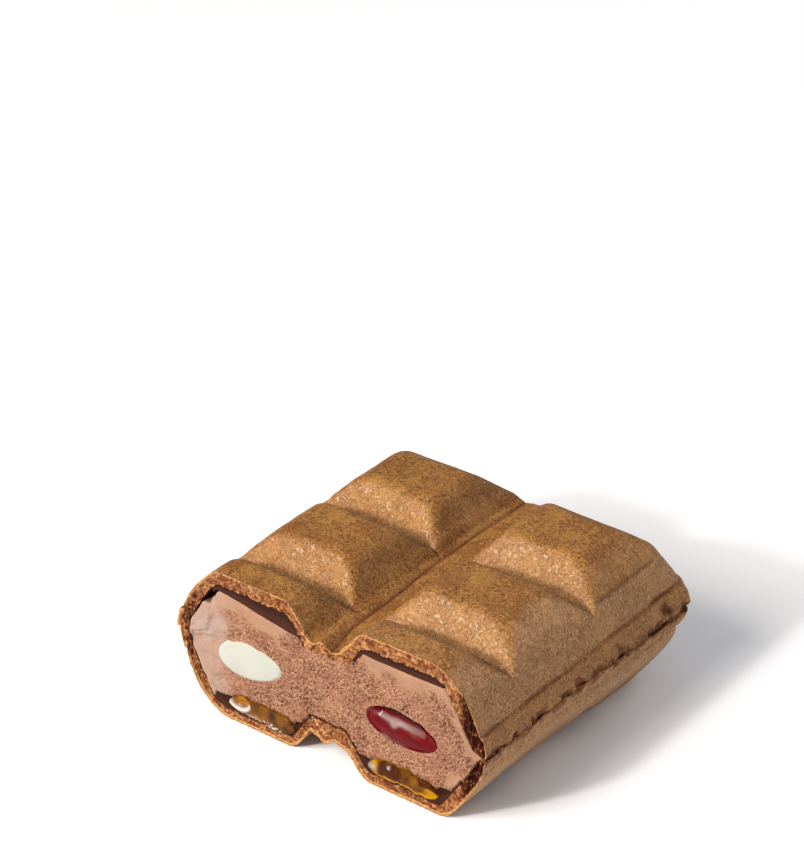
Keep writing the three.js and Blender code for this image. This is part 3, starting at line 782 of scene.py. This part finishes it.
def coreBody(name, core, cap):
    # a rod along Y: the cap's rings grow from its middle, then the sides run back and close to a point
    body = Body()
    angle = np.linspace(0, 2 * math.pi, cores["sides"] + 1)[None, :]
    share = np.linspace(0, 1, cores["rings"])[:, None]
    outX, outZ = coreOutline(core, angle)
    x, z = core["x"] + outX * share, core["z"] + outZ * share
    depth, shade, paintedHighlight = cap(x, z, share + 0 * x)
    capPoints = pointsOf(x, depth, z, shade, share, paintedHighlight)
    turn = np.linspace(0, math.pi / 2, cores["endRows"])[1:]
    roundEnd = core["halfHeight"] * 1.6
    back = np.concatenate([np.linspace(1.6, bar["fillingEnd"] - roundEnd, cores["along"]),
                           bar["fillingEnd"] - roundEnd * (1 - np.sin(turn))])[:, None]
    size = np.concatenate([np.ones(cores["along"]), np.cos(turn)])[:, None]
    size[-1] = 0
    sides = pointsOf(core["x"] + outX * size, back, core["z"] + outZ * size, 0.3, 1.0)
    capPoints[:, -1] = capPoints[:, 0]
    sides[:, -1] = sides[:, 0]
    body.patch(capPoints)
    body.patch(np.concatenate([capPoints[-1:], sides]))
    return body.build(name, 60)


def creamCap(x, z, share):
    # a low smooth bulge that turns in at its rim
    bulge = -0.12 - 0.22 * (1 - share ** 4) + 0.04 * noise(x, z, 2.8, 61)
    return bulge + 0.2 * ramp(share, 0.9, 1.0), 0.5 + 0.5 * noise(x, z, 3.5, 62), 0


def berryCap(x, z, share):
    # Wet jelly: a thin rim along the lower left, a swelling whose upper side slopes back and shines,
    # with a painted highlight along it, and hollows under the broken upper edge. Painted shade darkens
    # the upper edge, the hollows and a line inside the rim.
    lean = math.radians(berryCore["frontLean"])
    fromX, fromZ = x - berryCore["x"], z - berryCore["z"]
    along = fromX * math.cos(lean) + fromZ * math.sin(lean)
    up = fromZ * math.cos(lean) - fromX * math.sin(lean)
    wavy = up + 0.22 * noise(along, 0 * up, 3.4, 63) + 0.03 * noise(along, up, 1.2, 64)
    slope = 0.95 * ramp(wavy, 0.0, 2.0) * (1 - 0.75 * ramp(np.abs(along), 4.6, 6.6))
    hollows = sum(spot(x, z, *crevice) for crevice in berryCore["crevices"])
    line = bell(share, 0.86, 0.022) * ramp(-up - 0.15 * along, -0.6, 1.0)
    inner = fade(share, 0.84, 0.95)
    depth = -0.02 + inner * (slope - 0.28 * bell(wavy, -0.9, 1.5) + 0.9 * hollows)
    depth = depth - 0.16 * bell(share, 0.94, 0.03) + 0.2 * line + 0.5 * ramp(share, 0.965, 1.0)
    # a painted highlight along the swelling's upper side
    shine = 0.34 * bell(wavy + 0.5 * noise(along, up, 1.5, 65), 0.75, 0.55) * bell(along, -1.2, 3.6)
    # the shade is painted shade: darker at the upper edge, along the line inside the rim and in the crevices
    return depth, 0.75 - 0.55 * ramp(wavy, 1.2, 2.4) - 0.6 * line - 0.7 * hollows, shine


print("cores")
creamRod = coreBody("cream_rod", creamCore, creamCap)
berryRod = coreBody("berry_rod", berryCore, berryCap)

# The ice cream. Places are x and z at the cut.
iceCream = {
    "linesAcross": 150,
    "linesAlong": 30,
    "cutRows": 146,
    "samples": 4001,
    "startX": -31.5,
    "wedgeEnd": 34.0,  # how far the squeezed-out edge reaches on +X
    "clear": 0.14,  # gap to the wafer
    "shrunk": 1.5,  # gap under the wafer beside the left plate, mm
    "pitDepth": 0.45,
    # bowls where the foam broke: spacing, least and greatest radius in mm, and seed
    "finePits": (0.5, (0.1, 0.3), 83),
    "coarsePits": (1.1, (0.05, 0.48), 84),
    "crumbs": (0.62, (0.1, 0.32), 90),
    "smoothPatch": (28.2, -6.8, 1.98, 1.87),
    "lips": (((-26.3, 6.2), (-31.4, -1.0), 0.5), ((-26.2, 1.4), (-31.0, -0.9), 0.35)),
}


def iceSheet(x, y, sign):
    # The wafer's inner face, lowered to the free faces of the chocolate and raised at the squeezed
    # seam. Beside the left plate the filling has shrunk away from the wafer.
    shell = upperShell if sign > 0 else lowerShell
    y = np.maximum(y, 0)
    wall = innerRise(x, y, shell) - iceCream["clear"]
    if sign > 0:
        shrunk = iceCream["shrunk"] * bell(x, -27.3, 1.1) + 0.8 * bell(x, -29.8, 1.2)
        wall = wall - shrunk * fade(y, 0.5, 6)
    wedge = np.maximum(seamLevel(x, y, shell) - 0.12, 0.04)
    wall = np.where(x > 30.2, np.maximum(wall, wedge), wall)
    wall = np.maximum(wall, 0.04)
    inFillings = y < bar["fillingEnd"] + 0.1
    for part in ((plateLeft, plateRight) if sign > 0 else (liningLeft, liningRight)):
        edge = ramp(x, part["from"] - 0.5, part["from"]) * fade(x, part["to"], part["to"] + 0.4)
        free = plateUnder(part, x, y) if sign > 0 else -liningOver(part, x, y)
        wall = np.where(inFillings, wall + (np.minimum(free - 0.05, wall) - wall) * edge, wall)
    if sign > 0:
        # its corner at the left plate's end is rounded
        wall = wall - (1.3 * bell(x, -26.7, 0.9) + 0.7 * bell(x, -25.5, 0.8)) * fade(y, 0.5, 5)
    else:
        for sauce in (sauceLeft, sauceRight):
            top = -sauceShape(sauce, x, y)[0] - 0.04
            within = np.abs(x - sauce["middle"]) < sauce["half"] - 0.05
            wall = np.where(inFillings & within, np.minimum(wall, top), wall)
    return wall * sign


def smearLip(x, z, start, end, height):
    # smeared food stands forward along a line, steep on its near side and fading on the other
    runX, runZ = end[0] - start[0], end[1] - start[1]
    length = math.hypot(runX, runZ)
    along = ((x - start[0]) * runX + (z - start[1]) * runZ) / length
    away = ((x - start[0]) * runZ - (z - start[1]) * runX) / length
    within = ramp(along, 0, 1.5) * fade(along, length - 1, length + 0.5)
    return height * within * ramp(away, -0.4, 0.45) * fade(away, 0.6, 3.0)


def iceRelief(x, z, share, bottom, top):
    # Pits where the foam broke, smooth where the knife smeared it: under the plates, at the left and
    # low on the right. The pits crowd in some places, and their share is painted shade in them.
    fromTop = np.abs(top - z)
    fromEdge = np.minimum(fromTop, np.abs(z - bottom))
    warpX = x + waves(x, z, ((1.6, 2.7, 91), (0.5, 0.9, 92)))
    warpZ = fromTop + waves(x, z, ((1.2, 2.3, 93), (0.5, 0.8, 94)))
    underPlate = fade(warpZ, 0.8, 4.2) * ramp(np.abs(x), 7, 10)
    leftSide = ramp(-warpX, 18, 28)
    smear = np.maximum(np.maximum(underPlate, leftSide), spot(warpX, z, *iceCream["smoothPatch"]))
    smear = ramp(smear + waves(x, z, ((0.22, 2.2, 81), (0.25, 0.7, 82))), 0.0, 1.0)
    amount = 1 - 0.85 * smear
    fine, coarse, crumbs = (dimples(x, z, *iceCream[kind]) for kind in ("finePits", "coarsePits", "crumbs"))
    crowded = ramp(waves(x, z, ((1, 3.4, 95), (0.5, 1.2, 96))), -0.6, 0.8)
    pits = np.clip(np.maximum(fine * 0.7, coarse), 0, 1) * (0.55 + 0.6 * crowded)
    rolling = 0.17 * noise(x, z, 3.8, 85) + 0.08 * noise(x, z, 1.3, 86) * (1 - 0.6 * smear)
    streaks = (0.05 * noise(x * 0.35 + z, z - 0.35 * x, 0.6, 87)
               + 0.12 * noise(0.3 * x - z, 0.25 * z, 1.4, 88)) * smear
    lips = sum(smearLip(warpX, z, *lip) for lip in iceCream["lips"])
    depth = 0.1 + rolling + streaks - lips + amount * (iceCream["pitDepth"] * pits - 0.16 * crumbs)
    for core in (creamCore, berryCore):
        inside = insideCore(core, x, z)
        depth = depth * ramp(inside, 0.92, 1.2) + 1.1 * fade(inside, 0.93, 0.985)
    pale = leftSide * (0.5 + 0.3 * noise(warpX, z, 2.1, 97) + 0.15 * noise(x, z, 0.8, 98))
    return depth + 0.3 * fade(fromEdge, 0, 0.5), 1 - smear, amount * pits, pale


def iceCreamBody():
    # between the two sheets, and round the rods, whose places its front leaves hollow
    profileX = np.linspace(iceCream["startX"], iceCream["wedgeEnd"], iceCream["samples"])
    height = iceSheet(profileX, 0 * profileX, 1)
    linesX = linesByLength(profileX, 0.5 * height, iceCream["linesAcross"], 1 + 0 * profileX)
    linesY = np.concatenate([[0, 0.5, 1.1], np.linspace(1.8, bar["fillingEnd"], iceCream["linesAlong"]),
                             np.linspace(bar["fillingEnd"] + 0.4, wafer["cavityEnd"] - 0.3, 6)])

    def layer(sign):
        def sheet(lineX, lineY):
            # behind the cut the sides draw in, so that nothing stands in the closed seam
            narrow = 1 - ramp(lineY, 2, 4.5) * ramp(lineX, 29, iceCream["wedgeEnd"]) * 0.085
            x = lineX * narrow
            # the faces behind the cut are darkened as painted shade
            return pointsOf(x, lineY, iceSheet(x, lineY, sign), shadeAndScorch=ramp(lineY, 0.2, 0.9))
        return sheet

    return sheetBody("ice_cream_filling", layer(1), layer(-1), linesX, linesY, iceCream["cutRows"],
                     iceRelief, sharp=60)


print("ice cream")
iceCreamPiece = iceCreamBody()


# Materials.
def hexColour(text):
    # an sRGB hex value as linear red, green, blue and alpha
    parts = [int(text[i:i + 2], 16) / 255 for i in (1, 3, 5)]
    return [p / 12.92 if p <= 0.04045 else ((p + 0.055) / 1.055) ** 2.4 for p in parts] + [1.0]


def perMetre(millimetres):
    # a pattern scale whose grains are that many millimetres across
    return 1000 / millimetres


def addNode(material, kind, settings, out=0):
    # A node with its properties and its sockets' values, where text is a hex colour and another node's
    # output is a link. Gives the node's own output.
    node = material.node_tree.nodes.new("ShaderNode" + kind)
    for key, value in settings.items():
        if isinstance(value, bpy.types.NodeSocket):
            material.node_tree.links.new(value, node.inputs[key])
        elif isinstance(key, str) and hasattr(node, key):
            setattr(node, key, value)
        else:
            node.inputs[key].default_value = hexColour(value) if isinstance(value, str) else value
    return node.outputs[out] if len(node.outputs) else node


def newMaterial(name, *shares):
    # a bare material, places on the object, and the shares that its points carry
    material = bpy.data.materials.new(name)
    material.use_nodes = True
    material.node_tree.nodes.clear()
    return material, addNode(material, "TexCoord", {}, "Object"), *[
        addNode(material, "Attribute", {"attribute_name": share}, "Fac") for share in shares]


def coated(material, base, coats):
    # lays colours over a base one by one, each by a share that goes from 0 to its most while its
    # pattern goes from low to high
    for pattern, low, high, most, colour in coats:
        share = addNode(material, "MapRange", {"Value": pattern, "From Min": low, "From Max": high,
                                               "To Max": most})
        base = addNode(material, "Mix", {"data_type": "RGBA", 0: share, 6: base, 7: colour}, 2)
    return base


def finished(material, colour, bumps, roughness, specular, subsurface=0, reach=1):
    # bumps one on another, each a pattern and its height in mm, and the shader
    normal = {}
    for pattern, height in bumps:
        bump = addNode(material, "Bump", normal | {"Distance": height / 1000, "Height": pattern})
        normal = {"Normal": bump}
    shader = addNode(material, "BsdfPrincipled", normal | {
        "Base Color": colour, "Roughness": roughness, "Specular IOR Level": specular,
        "Subsurface Weight": subsurface, "Subsurface Scale": reach / 1000})
    addNode(material, "OutputMaterial", {"Surface": shader})
    return material


def bakedWafer():
    # Wafer of rice and wheat batter, baked between moulds: dry and matt, golden-brown with a fine
    # leathery grain. Frost and flour grey its slopes, with white flecks and hair-fine curls. The knife left a
    # pale line of skin round a red-brown open crumb. Light and sheen are painted onto the slopes that face
    # the lamp, and shade into its creases, tears, inner face and pores.
    m, at, cut, shadeAndScorch, paleAndSheen, flecksAndLight = newMaterial("baked wafer", "cut", "shadeAndScorch", "paleAndSheen", "flecksAndLight")
    # grain size in mm, detail, roughness and distortion of each pattern
    grain, speckle, patches, curls, darkCurls, fleckNoise, crumbTone = [
        addNode(m, "TexNoise", {"Vector": at, "Scale": perMetre(size), "Detail": detail, "Roughness": rough,
                                "Distortion": warp})
        for size, detail, rough, warp in (
            (0.5, 3, 0.8, 0.6), (0.27, 2, 0.6, 0), (6, 4, 0.65, 0.5), (2, 1.5, 0.5, 3), (2.4, 1.5, 0.5, 3.4),
            (1.4, 3, 0.65, 1.6), (0.9, 3, 0.75, 0))]
    # frost lies as a broken veil, denser on the high grain; on the slopes that face the lamp it is partly
    # painted sheen
    veilGrain = addNode(m, "MapRange", {"Value": grain, "From Min": 0.36, "From Max": 0.64, "To Min": 0.15,
                                        "To Max": 0.65})
    # curls are the thin lines where a warped pattern passes its middle, some pale and some dark
    fromCurl, fromDarkCurl = [
        addNode(m, "Math", {"operation": "ABSOLUTE",
                            0: addNode(m, "Math", {"operation": "SUBTRACT", 0: pattern, 1: middle})})
        for pattern, middle in ((curls, 0.5), (darkCurls, 0.47))]
    curl = addNode(m, "MapRange", {"Value": fromCurl, "From Min": 0.035, "From Max": 0.0})
    curlPick = addNode(m, "MapRange", {"Value": speckle, "From Min": 0.36, "From Max": 0.56})
    curlWhere = addNode(m, "MapRange", {"Value": paleAndSheen, "To Min": 0.1})
    fleckPick = addNode(m, "MapRange", {"Value": fleckNoise, "From Min": 0.575, "From Max": 0.68,
                                        "To Max": 0.75})
    curlThere, fleck, veil = [addNode(m, "Math", {"operation": "MULTIPLY", 0: a, 1: b}) for a, b in (
        (curl, curlWhere), (fleckPick, flecksAndLight), (paleAndSheen, veilGrain))]
    curlShare = addNode(m, "Math", {"operation": "MULTIPLY", 0: curlThere, 1: curlPick})
    skin = coated(m, "#4b2509", (
        (grain, 0.38, 0.62, 1, "#b27b3d"),
        (patches, 0.48, 0.64, 0.7, "#744415"),  # toasted
        (patches, 0.48, 0.36, 0.5, "#a67637"),  # golden
        (speckle, 0.58, 0.68, 0.5, "#45260b"),
        (speckle, 0.44, 0.34, 0.5, "#bf8e52"),
        (flecksAndLight, 0, 1, 0.14, "#d6a066"),  # painted light: the slopes that carry flecks, most of them facing the lamp, are lighter
        (veil, 0, 1, 1, "#b18a68"),
        (curlShare, 0, 1, 1, "#d3b797"),
        (fromDarkCurl, 0.03, 0, 0.6, "#553318"),
        (fleck, 0, 1, 1, "#d6bfa8"),
        # painted shade in the creases and tears, with the scorched blotches near the seam
        (shadeAndScorch, 0.1, 0.9, 0.8, "#572a15")))
    # crumb, lighter grains in it, and painted shade in its pores and on the inner face
    crumb = coated(m, "#642f15", ((crumbTone, 0.4, 0.6, 1, "#ad7340"), (paleAndSheen, 0.55, 0.9, 0.55, "#c99769"),
                                  (shadeAndScorch, 0.12, 0.7, 1, "#3e0f04")))
    cutSkin = coated(m, "#a5713d", ((grain, 0.38, 0.62, 1, "#cc9a60"),))
    colour = coated(m, skin, ((cut, 0, 0.45, 1, cutSkin), (cut, 0.5, 1, 1, crumb)))
    return finished(m, colour, ((curl, 0.06), (grain, 0.17), (speckle, 0.08)), 0.72, 0.18)


def whippedIceCream():
    # Milk-chocolate ice cream: frozen foam, matt and pitted where it broke and smooth where it smeared.
    # Shade is painted into its pits and onto its faces behind the cut.
    m, at, broken, shadeAndScorch, pale = newMaterial("whipped ice cream", "cut", "shadeAndScorch", "paleAndSheen")
    grain = addNode(m, "TexNoise", {"Vector": at, "Scale": perMetre(0.36), "Detail": 3, "Roughness": 0.7})
    patches = addNode(m, "TexNoise", {"Vector": at, "Scale": perMetre(3), "Detail": 4})
    smeared = coated(m, "#9c765a", ((patches, 0, 1, 1, "#7f5c47"), (pale, 0, 1, 1, "#93827a")))
    pitted = coated(m, "#58301d", ((grain, 0.38, 0.6, 1, "#a4785b"), (patches, 0.45, 0.65, 0.45, "#724430")))
    # painted shade in the pits and on the faces behind the cut
    colour = coated(m, smeared, ((broken, 0, 1, 1, pitted), (shadeAndScorch, 0.2, 0.9, 0.7, "#552d1d")))
    return finished(m, colour, ((grain, 0.08),), 0.6, 0.3, 0.1, 0.5)


# Dark and light shade, size of the patches in mm, roughness, specular, size and height of the bumps in
# mm, and the share of light that goes a little way in.
foods = {
    # chocolate that was poured and then snapped: nearly black and half matt
    "dark chocolate": ("#28110a", "#381c12", 3, 0.5, 0.06, 0.8, 0.03, 0),
    # whipped cream: warm white, soft and smooth
    "milk cream": ("#9d9e95", "#a4a59c", 4, 0.5, 0.2, 1.5, 0.02, 0.15),
    # set fruit jelly: wet and deep red
    "berry jelly": ("#1e0103", "#600008", 2, 0.15, 0.08, 1.2, 0.015, 0),
    # boiled syrups: wet, brown where they are deep and yellow where they are thin
    "caramel syrup": ("#3a2109", "#915a13", 2, 0.2, 0.08, 1.2, 0.03, 0),
    "honey syrup": ("#3c1907", "#aa7700", 2, 0.18, 0.06, 1.2, 0.03, 0),
}


def plainFood(name, dark, light, patch, roughness, specular, bumpSize, bumpHeight, subsurface):
    # two shades of one food, mixed in soft patches and by the shade that its front gives, which is
    # painted shade on the chocolate's cut face and at the berry's edges, under a painted highlight in
    # pale grey where its front gives one
    m, at, shade, paintedHighlight = newMaterial(name, "cut", "paleAndSheen")
    patches = addNode(m, "TexNoise", {"Vector": at, "Scale": perMetre(patch), "Detail": 3})
    patchShare = addNode(m, "MapRange", {"Value": patches, "From Min": 0.3, "From Max": 0.7, "To Min": -0.2,
                                         "To Max": 0.2})
    tone = addNode(m, "Math", {"operation": "ADD", "use_clamp": True, 0: shade, 1: patchShare})
    # b5b0a8 is the colour of the painted highlight
    colour = coated(m, dark, ((tone, 0, 1, 1, light), (paintedHighlight, 0, 1, 1, "#b5b0a8")))
    uneven = addNode(m, "TexNoise", {"Vector": at, "Scale": perMetre(bumpSize), "Detail": 2})
    return finished(m, colour, ((uneven, bumpHeight),), roughness, specular, subsurface)


print("materials")
waferMaterial = bakedWafer()
chocolateMaterial, creamMaterial, berryMaterial, caramelMaterial, honeyMaterial = [
    plainFood(name, *food) for name, food in foods.items()]
dressing = [
    (waferUpper, "wafer_upper", "wafer", waferMaterial),
    (waferLower, "wafer_lower", "wafer", waferMaterial),
    (iceCreamPiece, "ice_cream", "ice_cream", whippedIceCream()),
    (plates[0], "chocolate_plate_left", "chocolate", chocolateMaterial),
    (plates[1], "chocolate_plate_right", "chocolate", chocolateMaterial),
    (linings[0], "chocolate_lining_left", "chocolate", chocolateMaterial),
    (linings[1], "chocolate_lining_right", "chocolate", chocolateMaterial),
    (creamRod, "cream_core", "cream", creamMaterial),
    (berryRod, "berry_core", "berry_sauce", berryMaterial),
    (sauces[0], "sauce_left", "caramel_sauce", caramelMaterial),
    (sauces[1], "sauce_right", "honey_sauce", honeyMaterial),
]
for piece, node, slot, material in dressing:
    piece.data.materials.append(material)
    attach(piece, "root")
    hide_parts(node)

# Table, light and camera.
print("stage")
tableMaterial = finished(newMaterial("matt white paint")[0], "#f1f2f5", (), 0.9, 0.1)  # a soft pale ground
table = bpy.data.objects.new("table", bpy.data.meshes.new("table"))
table.data.from_pydata([(-3, -3, 0), (3, -3, 0), (3, 3, 0), (-3, 3, 0)], [], [(0, 1, 2, 3)])
table.data.materials.append(tableMaterial)
bpy.context.scene.collection.objects.link(table)

world = bpy.data.worlds.new("studio")
world.use_nodes = True
background = world.node_tree.nodes["Background"]
background.inputs["Color"].default_value = hexColour("#f3f6fa")
background.inputs["Strength"].default_value = 0.42
bpy.context.scene.world = world

lamps = {
    "key": {"from": (-0.30, -0.70, 0.60), "size": 0.5, "power": 11.3, "colour": "#fff4e6"},
    "glint": {"from": (-0.19, -0.76, 0.475), "size": 0.075, "power": 4.8, "colour": "#ffffff"},
    "fill": {"from": (0.82, -0.25, 0.05), "size": 0.3, "power": 1.7, "colour": "#faf2ec"},
    "back": {"from": (0.1, 0.8, 0.3), "size": 0.5, "power": 2.6, "colour": "#ffffff"},
}
for name, lamp in lamps.items():
    light = bpy.data.lights.new(name, "AREA")
    light.size = lamp["size"]
    light.energy = lamp["power"]
    light.color = hexColour(lamp["colour"])[:3]
    holder = bpy.data.objects.new(name, light)
    holder.location = lamp["from"]
    holder.rotation_mode = "QUATERNION"
    holder.rotation_quaternion = (-Vector(lamp["from"])).to_track_quat("-Z", "Y")
    bpy.context.scene.collection.objects.link(holder)

view = {"from": (0.258884, -0.332372, 0.292461), "azimuth": 38.722, "elevation": 29.520, "roll": -1.164,
        "focalLength": 115.9}
azimuth, elevation, roll = (math.radians(view[key]) for key in ("azimuth", "elevation", "roll"))
ahead = Vector((-math.sin(azimuth) * math.cos(elevation), math.cos(azimuth) * math.cos(elevation),
                -math.sin(elevation)))
level = Vector((math.cos(azimuth), math.sin(azimuth), 0))
upright = level.cross(ahead)
across = level * math.cos(roll) + upright * math.sin(roll)
up = upright * math.cos(roll) - level * math.sin(roll)
camera = bpy.data.objects.new("camera", bpy.data.cameras.new("camera"))
camera.data.lens = view["focalLength"]
camera.data.clip_start = 0.01
camera.matrix_world = Matrix.Translation(view["from"]) @ Matrix((across, up, -ahead)).transposed().to_4x4()
bpy.context.scene.collection.objects.link(camera)
bpy.context.scene.camera = camera
bpy.context.scene.view_settings.view_transform = "Standard"
